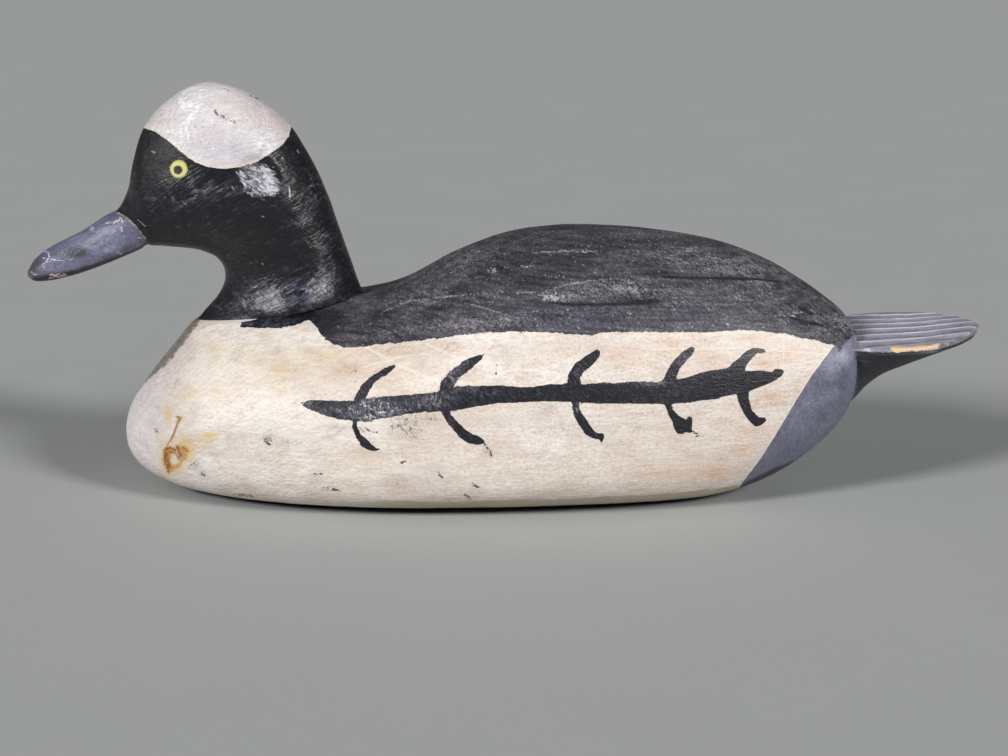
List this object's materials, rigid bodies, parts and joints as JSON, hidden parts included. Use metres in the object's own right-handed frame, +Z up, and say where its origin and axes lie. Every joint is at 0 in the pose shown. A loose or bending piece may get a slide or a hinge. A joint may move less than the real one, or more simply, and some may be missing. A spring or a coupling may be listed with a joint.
{
  "type": "bufflehead decoy",
  "caption": "Carved wooden duck decoy with a flat-bottomed body, short fluted tail and upright head with a slanting bill, painted dark and white.",
  "frame": {"origin": "on the floor under the middle of the length and width, at the flat underside", "axes": "+X along the body towards the tail, so the bill points along -X; -Y towards the duck's left side, the side the picture shows; +Z up"},
  "size_m": [0.327, 0.1144, 0.138],
  "materials": {
    "body_paint": "worn oil paint on wood, cream white below and grey black on the back",
    "head_paint": "old black oil paint on wood, half glossy, with a white crown patch and a blue grey bill"
  },
  "bodies": {
    "root": {"carved_body": "body_paint", "carved_head": "head_paint"}
  },
  "joints": []
}
